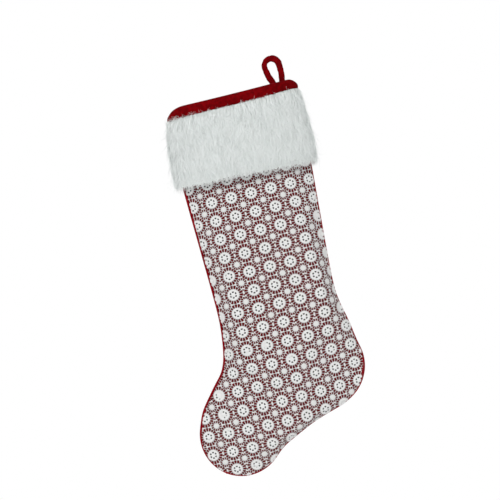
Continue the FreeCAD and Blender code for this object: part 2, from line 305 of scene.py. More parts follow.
bright_velvet = velvet("strap_and_binding_velvet", (0.095, 0.0001, 0.001), (0.20, 0.0003, 0.002))
back_velvet = velvet("back_velvet", (0.15, 0.001, 0.004), (0.27, 0.002, 0.008))
red_backing = woven("red_backing", (0.08, 0.0001, 0.001), (0.13, 0.0001, 0.002), 1500)
# A near-black finish for the discs under the flowers' six holes: painted shadow, for the shade inside those
# holes.
eyelet_shadow_finish = woven("eyelet_shadow", (0.006, 0.0004, 0.0008), (0.012, 0.0008, 0.0015), 1500)
lining_cloth = woven("lining_cloth", (0.16, 0.003, 0.009), (0.24, 0.006, 0.016), 2600, 0.45, 0.3)
label_tape = woven("label_tape", (0.72, 0.71, 0.67), (0.82, 0.81, 0.78), 1800, 0.7)
red_thread = woven("red_thread", (0.11, 0.001, 0.004), (0.19, 0.003, 0.008), 1100, 0.55, 0.3)
white_thread = woven("white_thread", (0.66, 0.66, 0.63), (0.80, 0.80, 0.78), 1100, 0.6, 0.3)

# %% [markdown]
# Lace is white cotton knit. Fine ridges of thread run round each flower and disc, and across the
# net between them; its map counts cells of the repeat, so the ridges follow the pattern. Its colour
# is painted darker in the ridges' troughs and in a band round each flower's rim, as painted shade.

# %% Lace and fur
def lace():
    finish = Finish("white_lace", 0.75, 0.2, (1, 1, 1), 0.25)
    u, v, _ = finish.split(finish.uv("cell"))
    wrapped_u, wrapped_v = ((c + 0.5).math("FRACT") - 0.5 for c in (u, v))
    across, along = wrapped_u * 25.8, wrapped_v * 24.4
    distance = (across * across + along * along).math("SQRT")
    turn = along.math("ARCTAN2", across)
    on_flower = 1 - distance.step(7.4, 7.7)
    spokes = (turn * 42).math("SINE") * distance.step(5.0, 6.0)
    rings = (distance * 8.4).math("SINE") * (1 - distance.step(5.0, 6.0))
    knit = (across * 7.0).math("SINE") * (along * 7.0).math("SINE")
    ridges = (spokes + rings * 0.5) * on_flower + knit * (1 - on_flower)
    fuzz = finish.noise(2600, 2)
    # Painted shade: the colour is darker in a band round each flower's rim and in the troughs of the
    # ridges.
    rim = distance.step(6.6, 7.0) * (1 - distance.step(7.3, 7.7))
    tone = ridges * 0.12 + fuzz * 0.3 + 0.5 - rim * 0.2 - (1 - on_flower) * 0.04
    finish.set("Base Color", finish.mix(tone.step(0.0, 1.0), (0.45, 0.42, 0.42), (0.88, 0.89, 0.88)))
    finish.bump(ridges * 0.5 + fuzz, 0.5, 0.0005)
    return finish.material


def fur():
    finish = Finish("white_fur", 0.75, 0.3, (1, 1, 1), 0.2)
    chance, along, _ = finish.split(finish.uv("strand"))
    clumps = finish.noise(70, 2)
    # Painted shade: the colour darkens towards each hair's root, for the shade deep in the pile.
    painted_root_shade = 1 - along.step(0.0, 0.6)
    tone = (chance * 0.25 + clumps * 0.6 + 0.3 - painted_root_shade * 0.15).step(0.1, 0.9)
    finish.set("Base Color", finish.mix(tone, (0.72, 0.77, 0.75), (0.88, 0.91, 0.90)))
    return finish.material


lace_finish, fur_finish = lace(), fur()

# %% [markdown]
# ## The panels' outline
# The pattern is drawn as ribs across the stocking, from the rim down the leg, round the heel and
# out along the foot, and then as a half circle of ribs round the toe. Two smooth lines through
# the ribs' ends are the toe-side and the heel-side edge. Between them a cloth grid is even.

# %% Ribs and edges
def leg_rib(v, ease=0.0):
    """(toe-side u, heel-side u) of the leg at a height, straight from bend to bend."""
    drops = (0, CALF_DROP, ANKLE_DROP)
    middle = -np.interp(-v, drops, (0, CALF_LEAN, ANKLE_LEAN))
    half = np.interp(-v, drops, (MOUTH_WIDTH, CALF_WIDTH, ANKLE_WIDTH)) / 2 + ease
    return middle - half, middle + half


def edge_poles(ease):
    """The poles of the two edge lines, with the cloth's edge moved out by ease."""
    toe_side, heel_side = [], []
    for v in (0.0, -CALF_DROP / 2, -CALF_DROP, -(CALF_DROP + ANKLE_DROP) / 2, -ANKLE_DROP):
        left, right = leg_rib(v, ease)
        toe_side.append((left, v))
        heel_side.append((right, v))
    ankle = toe_side[-1]
    downs = [(-1.3, -26), (-5, -52), (-8.5, -66), (-14, -78), (-20, -85),
             (-26, -91), (-33, -99.5), (-40, -108), (-47.5, -117), (-52, -124.5)]
    toe_side += [(ankle[0] + out * MM, ankle[1] + down * MM - ease * 0.4) for out, down in downs]
    heel = np.array(HEEL_CENTRE)
    heel_side += [tuple(heel + (np.array(p) * MM) + (ease, 0)) for p in ((41, 76), (47.5, 50))]
    for turn in np.radians((25, 5, -17, -44, -72)):
        direction = np.array((math.cos(turn), math.sin(turn)))
        heel_side.append(tuple(heel + (HEEL_RADIUS + ease) * direction))
    for p in ((-8, -60), (-29.5, -67), (-53, -78)):
        heel_side.append(tuple(heel + np.array(p) * MM + (0, -ease)))
    along = np.array((math.cos(TOE_AXIS), math.sin(TOE_AXIS)))
    across = np.array((-along[1], along[0]))
    for turn in np.radians((0, 22, 42, 58, 71, 82, 90)):
        middle = np.array(TOE_CENTRE) + (TOE_RADIUS + ease) * math.sin(turn) * along
        half = (TOE_RADIUS + ease) * math.cos(turn) * across
        toe_side.append(tuple(middle - half))
        heel_side.append(tuple(middle + half))
    return np.array(toe_side), np.array(heel_side)


def along_poles(poles, places):
    """Points on the smooth quadratic line of those poles, at places from 0 to its span count."""
    padded = np.vstack((poles[:1], poles, poles[-1:]))
    start = np.clip(np.floor(places).astype(int), 0, len(padded) - 3)
    x = (places - start)[:, None]
    first, second, third = padded[start], padded[start + 1], padded[start + 2]
    return first * (1 - x) ** 2 / 2 + second * (0.5 + x * (1 - x)) + third * x ** 2 / 2


ROWS = 108  # of cloth, from the rim to the toe's tip


def even_rows(ease):
    """Matching points down both edges, an even step apart on average, ending at the toe's tip."""
    toe_side, heel_side = edge_poles(ease)
    fine = np.linspace(0, len(toe_side), 1200)
    left, right = along_poles(toe_side, fine), along_poles(heel_side, fine)
    moved = [np.linalg.norm(np.diff(side, axis=0), axis=1) for side in (left, right)]
    travel = np.concatenate(([0], np.cumsum((moved[0] + moved[1]) / 2)))
    places = np.interp(np.linspace(0, travel[-1], ROWS + 1), travel, fine)
    return along_poles(toe_side, places), along_poles(heel_side, places)


# %% [markdown]
# ## The bag, sewn and filled
# The front and the back are cut flat and a little wider than the finished bag, because filling
# rounds them and draws the edges in. They start almost flat and sewn along the edge, and a cloth
# simulation fills them with a light pressure. The small folds at the instep and round the heel and
# toe come from that. The rim is held open by its binding, so the top rows turn to that oval.

# %% Sew the bag
SEAM_EASE = 3.2 * MM
COLUMNS = 30  # across one panel
AROUND = 2 * COLUMNS


def bag_rings(ease, depth_share):
    """Rings round the bag, from the rim to the toe: along the back, then along the front."""
    left, right = even_rows(ease)
    drop = -np.minimum(left[:, 1], right[:, 1])
    half_depth = np.interp(drop, (0, CALF_DROP, ANKLE_DROP, ANKLE_DROP + 40 * MM),
                           (MOUTH_DEPTH, LEG_DEPTH, LEG_DEPTH, FOOT_DEPTH)) / 2
    width = np.linalg.norm(right - left, axis=1)
    half_depth = np.minimum(half_depth, width * 0.42)
    points = []
    for row in range(ROWS + 1):
        middle, reach = (left[row] + right[row]) / 2, (right[row] - left[row]) / 2
        for k in range(AROUND):
            share = 1 - 2 * (k / COLUMNS if k <= COLUMNS else 2 - k / COLUMNS)
            side = 1 if k <= COLUMNS else -1
            y = side * half_depth[row] * math.sqrt(max(0, 1 - share ** 2)) * depth_share
            u, v = middle + reach * share
            points.append((u, y, v))
    # The last row is the toe's tip, one point that closes the bag.
    return np.array(points[:ROWS * AROUND + 1])


open_points = bag_rings(0.0, 1.0)
flat_points = bag_rings(SEAM_EASE, 0.08)
bag_faces = ring_faces(ROWS, AROUND, flip=True)
last_ring = (ROWS - 1) * AROUND
bag_faces += [(last_ring + (k + 1) % AROUND, last_ring + k, ROWS * AROUND) for k in range(AROUND)]
bag = add_mesh("bag", flat_points, bag_faces)
print("the bag has", len(bag_faces), "faces in", ROWS, "rows")

# %% Fill the bag with a cloth simulation
PRESSURE, STIFFNESS, FILL_FRAMES = 0.8, 40, 22


def fill_bag():
    """The bag's points after a light pressure has filled it from flat."""
    pins = bag.vertex_groups.new(name="rim")
    pins.add(list(range(AROUND)), 1.0, "REPLACE")
    cloth = bag.modifiers.new("cloth", "CLOTH")
    settings = cloth.settings
    settings.vertex_group_mass = "rim"
    settings.quality = 5
    settings.mass = 0.001
    settings.tension_stiffness = settings.compression_stiffness = STIFFNESS
    settings.shear_stiffness = 8
    settings.bending_stiffness = 0.05
    settings.tension_damping = settings.compression_damping = 15
    settings.air_damping = 2
    settings.use_pressure = True
    settings.uniform_pressure_force = PRESSURE
    settings.effector_weights.gravity = 0
    scene = bpy.context.scene
    for number in range(1, FILL_FRAMES + 1):
        scene.frame_set(number)
    shown = bag.evaluated_get(bpy.context.evaluated_depsgraph_get())
    filled = np.empty(len(bag.data.vertices) * 3, np.float32)
    shown.data.vertices.foreach_get("co", filled)
    scene.frame_set(1)
    bag.modifiers.remove(cloth)
    return filled.reshape(-1, 3).astype(float)


# %% Fit the filled bag to its outline and its rim
SAG, TOE_CORNER, HEEL_CORNER = 1.6 * MM, 9 * MM, 4 * MM
RIM_BLEND, TOP_BAND, UNDER_BINDING = 95 * MM, 20 * MM, 2 * MM


def fit_to_outline(points):
    """Each ring moved in line so that its two edges lie on the drawn outline."""
    for row in range(ROWS):
        ring = slice(row * AROUND, (row + 1) * AROUND)
        now, wanted = points[ring], open_points[ring]
        heel, toe = now[0].copy(), now[COLUMNS].copy()
        chord = toe - heel
        share = np.clip((now - heel) @ chord / max(chord @ chord, 1e-12), 0, 1)[:, None]
        points[ring] = now + (1 - share) * (wanted[0] - heel) + share * (wanted[COLUMNS] - toe)
    points[-1] = open_points[-1]
    return points


def rim_drop(u):
    """How far the rim's top lies below its highest line, at u from -1 at the toe side to 1."""
    toe = np.clip((-u - 0.76) / 0.24, 0, 1)
    heel = np.clip((u - 0.92) / 0.08, 0, 1)
    corners = TOE_CORNER * (1 - np.sqrt(1 - toe ** 2)) + HEEL_CORNER * (1 - np.sqrt(1 - heel ** 2))
    return SAG * (1 - u ** 2) + corners


bag_points = fit_to_outline(fill_bag())
ankle_row = slice(ROWS // 3 * AROUND, (ROWS // 3 + 1) * AROUND)
bag_points[:, 1] *= LEG_DEPTH / np.ptp(bag_points[ankle_row, 1])
rim_share = 1 - np.clip(-flat_points[:, 2] / RIM_BLEND, 0, 1)
rim_share = (rim_share ** 2 * (3 - 2 * rim_share))[:, None]
bag_points = bag_points * (1 - rim_share) + open_points * rim_share
top = bag_points[:, 2] > -TOP_BAND
sunk = UNDER_BINDING + rim_drop(np.clip(bag_points[top, 0] / (MOUTH_WIDTH / 2), -1, 1))
bag_points[top, 2] = -TOP_BAND + (bag_points[top, 2] + TOP_BAND) * (TOP_BAND - sunk) / TOP_BAND
print("the bag is", np.round(np.ptp(bag_points, axis=0) * 1000, 1), "mm")

# %% [markdown]
# ## Front, back, lining and the rolled edge
# The front panel is the red cloth under the lace, and the back panel is velvet. The lining is a
# smaller bag of thin cloth inside. Each is a thin sheet with a real thickness.

# %% The panels
bag.data.vertices.foreach_set("co", bag_points.astype(np.float32).ravel())
bag.data.update()
outward = np.array([vertex.normal for vertex in bag.data.vertices])
if (bag_points * outward)[:, 1].sum() < 0:
    outward = -outward
back_faces = [face for k, face in enumerate(bag_faces) if k % AROUND < COLUMNS]
front_faces = [face for k, face in enumerate(bag_faces) if k % AROUND >= COLUMNS]


def inside_bag(inset):
    """The bag's points moved in by inset, without crossing the middle plane where the bag is thin."""
    moved = bag_points - outward * inset
    y = bag_points[:, 1]
    same_side = moved[:, 1] * y > 0
    moved[:, 1] = np.sign(y) * np.maximum(np.abs(moved[:, 1]) * same_side, np.abs(y) * 0.3)
    return moved


def panel(name, faces, inset, thickness, finish):
    """One cloth of the bag, moved in from the bag's surface, subdivided and given its thickness."""
    used = sorted({k for face in faces for k in face})
    renumber = {old: new for new, old in enumerate(used)}
    points = inside_bag(inset)[used]
    piece = add_mesh(name, points, [tuple(renumber[k] for k in face) for face in faces], finish)
    normals = np.array([vertex.normal for vertex in piece.data.vertices])
    if (normals * outward[used]).sum() < 0:
        piece.data.flip_normals()
    smooth_once(piece)
    solidify(piece, thickness)
    apply_modifiers(piece)
    return piece


front_panel = panel("front_panel_cloth", front_faces, 0.55 * MM, 0.8 * MM, red_backing)
back_panel = panel("back_panel_cloth", back_faces, 0.0, 1.2 * MM, back_velvet)
lining = panel("lining_bag", bag_faces, 3.4 * MM, 0.5 * MM, lining_cloth)

# %% [markdown]
# ## Lines that follow the seam
# The rolled edge, the seams and the stitches all follow the line where front and back meet: down
# the toe side, round the toe and up the heel side. A tube is a round section carried along a line.

# %% The seam line, tubes and the rolled edge
def seam_line(first_row=0, inset=0.0):
    """Points down the toe-side edge, through the toe's tip and up the heel-side edge."""
    moved_in = inside_bag(inset)
    toe_side = moved_in[COLUMNS:-1:AROUND][first_row:]
    heel_side = moved_in[0:-1:AROUND][first_row:]
    return np.vstack((toe_side, moved_in[-1:], heel_side[::-1]))


def even_points(line, spacing):
    """The same line with points an even distance apart."""
    travel = np.concatenate(([0], np.cumsum(np.linalg.norm(np.diff(line, axis=0), axis=1))))
    places = np.linspace(0, travel[-1], max(2, round(travel[-1] / spacing)))
    return np.column_stack([np.interp(places, travel, line[:, k]) for k in range(3)])


def softened(line, rounds=3):
    """The line with its corners rounded, a little more with each round."""
    for _ in range(rounds):
        line[1:-1] = (line[:-2] + 2 * line[1:-1] + line[2:]) / 4
    return line


def frames_along(line):
    """A square pair of directions at each point: one near +Y, and one across the line."""
    ahead = np.gradient(line, axis=0)
    ahead /= np.linalg.norm(ahead, axis=1)[:, None]
    across = np.cross(ahead, (0, 1, 0))
    across /= np.linalg.norm(across, axis=1)[:, None]
    return np.cross(across, ahead), across


def tube(name, line, radius, sides, finish):
    """A round tube along a line, with a radius for each point, its ends closed with caps."""
    outs, across = frames_along(line)
    points = []
    for k, centre in enumerate(line):
        for turn in np.linspace(0, 2 * math.pi, sides, endpoint=False):
            points.append(centre + outs[k] * radius[k] * math.sin(turn)
                          + across[k] * radius[k] * math.cos(turn))
    piece = add_mesh(name, points, ring_faces(len(line), sides) + end_caps(len(line), sides), finish)
    face_outward(piece)
    return piece


edge_line = softened(even_points(seam_line(first_row=2, inset=0.8 * MM), 3 * MM))
along_edge = np.linspace(0, 1, len(edge_line))
edge_radius = np.interp(along_edge, (0, 0.3, 0.42, 0.6, 1), (1.5, 1.5, 0.9, 0.8, 0.95)) * MM
edge_line[:, 1] -= 0.3 * MM
edge_roll = tube("velvet_edge_roll", edge_line, edge_radius, 10, back_velvet)

# %% [markdown]
# ## Stitches
# A row of stitches is many short thread lengths that dip into the cloth at both ends. One stitch
# is a bent capsule of a few faces, and it is copied along a line.

# %% Rows of stitches
def stitch_row(name, line, length, thickness, finish, out, lift=0.0):
    """Stitches end to end along a line of 3-D points, each a small bent capsule."""
    places = even_points(line, length)
    outs = np.broadcast_to(np.asarray(out, float), places.shape)
    rings, sides = 5, 6
    points, faces = [], []
    for k in range(len(places) - 1):
        start, end = places[k], places[k + 1]
        ahead = (end - start) / max(np.linalg.norm(end - start), 1e-9)
        up = outs[k] - ahead * np.dot(outs[k], ahead)
        up /= np.linalg.norm(up)
        side = np.cross(ahead, up)
        base = len(points)
        for ring in range(rings):
            share = ring / (rings - 1)
            bulge = math.sin(math.pi * share)
            height = lift + thickness * (bulge - 0.6)
            centre = start + (end - start) * (0.06 + 0.88 * share) + up * height
            radius = thickness / 2 * (0.35 + 0.65 * bulge)
            for turn in np.linspace(0, 2 * math.pi, sides, endpoint=False):
                points.append(centre + radius * (up * math.sin(turn) + side * math.cos(turn)))
        for face in ring_faces(rings, sides) + end_caps(rings, sides):
            faces.append(tuple(base + n for n in face))
    return add_mesh(name, points, faces, finish)


SEAM_STITCH, RIM_STITCH, THREAD = 3 * MM, 3.2 * MM, 0.5 * MM
seam_inside = even_points(seam_line(first_row=2, inset=2.4 * MM), 4 * MM)
to_back = np.array((0, 1.0 * MM, 0))
shell_seam = stitch_row("shell_seam_stitches", seam_inside - to_back, SEAM_STITCH, THREAD,
                        red_thread, (0, -1, 0))
lining_seam = stitch_row("lining_seam_stitches", seam_inside + to_back, SEAM_STITCH, THREAD,
                         red_thread, (0, 1, 0))
print("panels, edge roll and seams are made")

# %% [markdown]
# ## The lace
# The real lace is knitted as one sheet: a lattice of big round flowers with small discs between
# them, joined by a net of threads with wedge-shaped slits between. Here the net is cut in the flat
# with its holes as a triangulated pattern, the discs are round meshes with raised rings, and both
# are then laid on the filled bag: a point of the flat pattern goes to the same place on the cloth.

# %% Lay a flat pattern on the bag
flat_outline = [Vector((u, 0, v)) for u, _, v in open_points]
front_triangles = []
for face in front_faces:
    front_triangles.append(face[:3])
    if len(face) == 4:
        front_triangles.append((face[0], face[2], face[3]))
pattern_tree = BVHTree.FromPolygons(flat_outline, front_triangles)


def lay(points):
    """Flat pattern points (u, height above the cloth, v) to places on the bag's front."""
    laid = np.empty((len(points), 3))
    for k, (u, height, v) in enumerate(points):
        place, _, index, _ = pattern_tree.find_nearest((u, 0, v))
        triangle = list(front_triangles[index])
        shares = np.array(poly_3d_calc([flat_outline[n] for n in triangle], place))
        laid[k] = shares @ bag_points[triangle] + height * (shares @ outward[triangle])
    return laid


LACE_TOP = -62 * MM
REPEAT_U, REPEAT_V = 25.8 * MM, 24.4 * MM
FLOWER_PLACE = (-31.2 * MM, -228.5 * MM)
toe_poles, heel_poles = edge_poles(0.0)
edge_places = np.linspace(0, len(toe_poles), 400)
toe_edge, heel_edge = along_poles(toe_poles, edge_places), along_poles(heel_poles, edge_places)
outline = np.vstack((toe_edge, heel_edge[::-1][1:]))
outline = outline[outline[:, 1] < LACE_TOP]


def inset_outline(extra=0.0):
    """The lace's outline: it stops short of the edge, most down the toe side of the leg."""
    ahead = np.gradient(outline, axis=0)
    ahead /= np.linalg.norm(ahead, axis=1)[:, None]
    down_leg = (outline[:, 0] < -60 * MM) * np.interp(outline[:, 1], (-0.42, -0.33), (0, 1))
    inset = 0.8 * MM + 1.3 * MM * down_leg + extra
    moved = outline + np.column_stack((-ahead[:, 1], ahead[:, 0])) * inset[:, None]
    moved[[0, -1], 1] = LACE_TOP
    return moved


def inside_polygon(points, polygon):
    """True for each point inside the polygon, by counting crossings."""
    crossed = np.zeros(len(points), bool)
    for (u0, v0), (u1, v1) in zip(polygon, np.roll(polygon, -1, axis=0)):
        spans = (v0 > points[:, 1]) != (v1 > points[:, 1])
        if spans.any():
            u = u0 + (points[:, 1] - v0) * (u1 - u0) / (v1 - v0)
            crossed ^= spans & (points[:, 0] < u)
    return crossed


lace_outline = inset_outline()[::2]
CELLS_ACROSS, CELLS_UP = range(-6, 7), range(-11, 8)
flower_centres = np.array([(FLOWER_PLACE[0] + i * REPEAT_U, FLOWER_PLACE[1] + j * REPEAT_V)
                           for i in CELLS_ACROSS for j in CELLS_UP])
print("the lace outline has", len(lace_outline), "points")


# %% The net's holes
def ring_of(count, first=0.0):
    turn = first + np.linspace(0, 2 * math.pi, count, endpoint=False)
    return np.column_stack((np.cos(turn), np.sin(turn)))


WIDEST_SLIT = 3.5


def radial_slit(centre, heading, start, end, width):
    """A wedge with blunt ends, in millimetres, that points away from a disc's centre."""
    wide, narrow = min(width * end / start, WIDEST_SLIT) / 2, width / 2
    one_side = ((start, 0.3), (start + 0.5, narrow), (end - 0.4, wide), (end, wide * 0.6))
    other_side = [(along, -across) for along, across in one_side]
    shape = np.array((other_side[0], *one_side, *other_side[:0:-1]))
    c, s = math.cos(heading), math.sin(heading)
    return shape @ np.array(((c, s), (-s, c))) + centre


FLOWER_RADIUS, FLOWER_SLITS, FLOWER_SLIT_WIDTH = 7.3, 18, 2.25
DOT_RADIUS, DOT_SLITS, DOT_SLIT_WIDTH, DOT_REACH = 3.5, 12, 1.5, 6.7
HALF_U, HALF_V = REPEAT_U / MM / 2, REPEAT_V / MM / 2
DOT_PLACE = (HALF_U, HALF_V)
BRIDGE = 0.45  # the least width of net between two holes that meet end to end


def flower_reach(heading):
    """How far a flower's slit runs before it meets a neighbour's zone, in millimetres."""
    c, s = abs(math.cos(heading)), abs(math.sin(heading))
    reach = min(12.0, (HALF_U - BRIDGE / 2) / max(c, 1e-6), (HALF_V - BRIDGE / 2) / max(s, 1e-6))
    away = math.hypot(*DOT_PLACE)
    off_line = away * math.sin(math.atan2(s, c) - math.atan2(HALF_V, HALF_U))
    clear = DOT_REACH + BRIDGE
    if abs(off_line) < clear:
        to_disc = math.sqrt(away ** 2 - off_line ** 2) - math.sqrt(clear ** 2 - off_line ** 2)
        reach = min(reach, to_disc)
    return reach


def net_holes():
    """The holes of one lattice cell in millimetres: slits round its flower and disc, and two kites."""
    holes = []
    for k in range(FLOWER_SLITS):
        heading = 2 * math.pi * (k + 0.5) / FLOWER_SLITS
        reach = flower_reach(heading)
        holes.append(radial_slit((0, 0), heading, FLOWER_RADIUS, reach, FLOWER_SLIT_WIDTH))
    for k in range(DOT_SLITS):
        heading = 2 * math.pi * (k + 0.5) / DOT_SLITS
        holes.append(radial_slit(DOT_PLACE, heading, DOT_RADIUS, DOT_REACH, DOT_SLIT_WIDTH))
    for up in (1, -1):
        kite = np.array(((-0.9, 2.2), (0.9, 2.2), (1.3, 3.4), (0, 4.6), (-1.3, 3.4))) * (1, up)
        holes.append(kite + (HALF_U, 0))
    return holes


loops = [lace_outline / MM]
lowest, highest = lace_outline.min(axis=0) / MM - 3, lace_outline.max(axis=0) / MM + 3
for centre in flower_centres / MM:
    for hole in net_holes():
        hole = hole + centre
        if (hole.max(axis=0) > lowest).all() and (hole.min(axis=0) < highest).all():
            loops.append(hole)
points, polygons = [], []
for loop in loops:
    after = np.roll(loop, -1, axis=0)
    if (loop[:, 0] * after[:, 1] - loop[:, 1] * after[:, 0]).sum() < 0:
        loop = loop[::-1]
    polygons.append(list(range(len(points), len(points) + len(loop))))
    points += [Vector(p) for p in loop]
found, _, triangles, _, _, came_from = delaunay_2d_cdt(points, [], polygons, 0, 1e-4, True)
kept = [tri for tri, origins in zip(triangles, came_from) if list(origins) == [0]]
print("the net has", len(kept), "triangles flat")


def lace_piece(name, flat_mm, faces, heights, thickness):
    """A lace mesh laid on the bag from its flat points, given a thickness and a cell map."""
    places = np.column_stack((flat_mm[:, 0] * MM, heights, flat_mm[:, 1] * MM))
    piece = add_mesh(name, lay(places), faces, lace_finish)
    add_uv(piece, "cell", (flat_mm * MM - FLOWER_PLACE) / (REPEAT_U, REPEAT_V))
    normals = np.array([polygon.normal for polygon in piece.data.polygons])
    if normals[:, 1].sum() > 0:
        piece.data.flip_normals()
    solidify(piece, thickness)
    apply_modifiers(piece)
    return piece


def keep_used(flat, faces):
    """The numbers of the points that the faces use, those points, and the faces renumbered."""
    used = sorted({n for face in faces for n in face})
    number = {old: new for new, old in enumerate(used)}
    renumbered = [tuple(number[n] for n in face) for face in faces]
    return used, np.array([tuple(flat[n]) for n in used]), renumbered


# %% The net
_, net_points, net_faces = keep_used(found, kept)
lace_net = lace_piece("lace_net", net_points, net_faces, np.zeros(len(net_points)), 0.45 * MM)

# %% The flowers and the small discs
def disc(radii, lifts, divisions, holes=()):
    """A round mesh of rings, in millimetres, with their lifts. Holes are (ring, division) pairs."""
    points, lift, faces = [(0.0, 0.0)], [lifts[0]], []
    for radius, up in zip(radii, lifts[1:]):
        points += [tuple(p) for p in ring_of(divisions) * radius]
        lift += [up] * divisions
    for k in range(divisions):
        faces.append((0, 1 + k, 1 + (k + 1) % divisions))
    for ring in range(len(radii) - 1):
        for k in range(divisions):
            if (ring, k) in holes:
                continue
            a, b = 1 + ring * divisions + k, 1 + ring * divisions + (k + 1) % divisions
            faces.append((a, a + divisions, b + divisions, b))
    return np.array(points), np.array(lift), faces


def copies(pattern, centres, limit):
    """The disc at every centre, without the faces that lie outside the limit outline."""
    flat, lift, faces = pattern
    all_flat = np.concatenate([flat + centre / MM for centre in centres])
    all_lift = np.tile(lift, len(centres))
    starts = range(0, len(all_flat), len(flat))
    all_faces = [tuple(start + n for n in face) for start in starts for face in faces]
    inside = inside_polygon(all_flat, limit / MM)
    used, flat_kept, faces_kept = keep_used(all_flat, [f for f in all_faces if inside[list(f)].all()])
    return flat_kept, all_lift[used] * MM, faces_kept


def near_lace(centres, distance):
    """The centres with the lace within about that many millimetres."""
    shifts = (-distance * MM, 0, distance * MM)
    found = [inside_polygon(centres + (du, dv), lace_outline) for du in shifts for dv in shifts]
    return centres[np.array(found).any(axis=0)]


DIVISIONS = 42
FLOWER_RINGS = (1.0, 1.75, 2.2, 2.75, 4.55, 5.4, 6.4, 6.9, 7.6)
FLOWER_LIFTS = (1.0, 0.9, 0.55, 0.3, 0.3, 0.35, 0.6, 0.5, 0.2, 0.05)
DOT_RINGS, DOT_LIFTS = (1.3, 2.5, 3.5), (0.5, 0.45, 0.35, 0.05)
PAST_NET = -0.3 * MM  # the discs run this far past the net's edge
near_flowers = near_lace(flower_centres, 7)
six_holes = {(3, k) for k in range(DIVISIONS) if k % 7 in (1, 2, 3, 4)}
flower = disc(FLOWER_RINGS, FLOWER_LIFTS, DIVISIONS, six_holes)
flower_flat, flower_lift, flower_faces = copies(flower, near_flowers, inset_outline(PAST_NET))
lace_flowers = lace_piece("lace_flowers", flower_flat, flower_faces, 0.25 * MM + flower_lift, 0.8 * MM)
near_dots = near_lace(flower_centres + np.array(DOT_PLACE) * MM, 3)
dot = disc(DOT_RINGS, DOT_LIFTS, 18)
dot_flat, dot_lift, dot_faces = copies(dot, near_dots, inset_outline(PAST_NET))
lace_dots = lace_piece("lace_dots", dot_flat, dot_faces, 0.2 * MM + dot_lift, 0.7 * MM)
# Painted shadow: a near-black disc under each flower's ring of six holes stands for the shade inside them.
# The stocking has no such part.
shadow_disc = disc((4.9,), (0.0, 0.0), 24)
shadow_disc_flat, shadow_disc_lift, shadow_disc_faces = copies(shadow_disc, near_flowers, inset_outline(0.4 * MM))
painted_shadow_discs = lace_piece("lace_eyelet_painted_shadow", shadow_disc_flat, shadow_disc_faces, 0.12 * MM + shadow_disc_lift, 0.3 * MM)
painted_shadow_discs.data.materials[0] = eyelet_shadow_finish
for piece in (lace_net, lace_flowers, lace_dots, painted_shadow_discs):
    triangles = sum(len(polygon.vertices) - 2 for polygon in piece.data.polygons)
    print(piece.name, triangles, "triangles")

# %% [markdown]
# ## The fur cuff
# The cuff is a hide tube under the binding with long soft pile. Each hair is a narrow ribbon of
# three parts that leaves the hide outward and then hangs. Hairs near each other lean to the same
# tip, which makes the tufts. The lower edge slants down towards the heel.

# %% The hide
HIDE_OUT, HIDE_ROWS, HIDE_COLUMNS = 2.3 * MM, 24, 144
CUFF_HALF = 80 * MM


def cuff_top(u):
    """The height where the hide goes under the binding, higher on the heel side."""
    return np.interp(u, (0, 80 * MM), (-11.5 * MM, -9.5 * MM))


def cuff_bottom(u):
    """The height of the hide's lower edge, lower on the heel side."""
    return np.interp(u, (-90 * MM, 0, 85 * MM), (-93 * MM, -97 * MM, -103 * MM))


def cuff_edges(turn):
    """The heights of the hide's lower and upper edge at a turn round the cuff."""
    u = CUFF_HALF * np.cos(turn)
    return cuff_bottom(u), cuff_top(u)


def oval(turn, v, out):
    """Points of the leg's oval, moved out square to it. Turn 0 is the heel side, and -90 the front."""
    left, right = leg_rib(v)
    depth = np.interp(-v, (0, CALF_DROP), (MOUTH_DEPTH, LEG_DEPTH)) / 2
    half = (right - left) / 2
    normal = np.column_stack((np.cos(turn) / half, np.sin(turn) / depth, np.zeros_like(turn)))
    normal /= np.linalg.norm(normal, axis=1)[:, None]
    points = np.column_stack(((left + right) / 2 + half * np.cos(turn), depth * np.sin(turn), v))
    return points + normal * np.reshape(out, (-1, 1)), normal


around = np.linspace(0, 2 * math.pi, HIDE_COLUMNS, endpoint=False)
low, high = cuff_edges(around)
hide_points = []
for share in np.linspace(0, 1, HIDE_ROWS):
    hide_points.append(oval(around, high + share * (low - high), HIDE_OUT)[0])
hide_faces = ring_faces(HIDE_ROWS, HIDE_COLUMNS)
hide = add_mesh("cuff_hide", np.concatenate(hide_points), hide_faces, fur_finish)
if sum(polygon.normal.dot(polygon.center) for polygon in hide.data.polygons) < 0:
    hide.data.flip_normals()
# The hide's strand map puts it a quarter of the way up a hair, so it takes part of the painted shade at the
# roots.
add_uv(hide, "strand", np.full((len(hide.data.vertices), 2), (0.5, 0.25)))
solidify(hide, 1.0 * MM)
apply_modifiers(hide)

# %% The hairs
HAIRS = 84_000
TUFT_ACROSS, TUFT_DOWN = 6.5 * MM, 10 * MM
CUFF_LENGTH = 100 * MM
HAIR_LENGTH, HAIR_SPREAD = 17, 3  # in mm
HAIR_STEPS = ((0, 0.42), (0.38, 0.40), (0.72, 0.28), (1, 0.05))  # share of the way, width in mm
table_turn = np.linspace(0, 2 * math.pi, 721)
cuff_line, _ = oval(table_turn, np.full(len(table_turn), -50 * MM), HIDE_OUT)
table_travel = np.concatenate(([0], np.cumsum(np.linalg.norm(np.diff(cuff_line, axis=0), axis=1))))
girth = table_travel[-1]
TUFT_COLUMNS, TUFT_ROWS = math.ceil(girth / TUFT_ACROSS), math.ceil(CUFF_LENGTH / TUFT_DOWN)
tuft_table = rng.uniform(-1, 1, (TUFT_COLUMNS * TUFT_ROWS, 4))


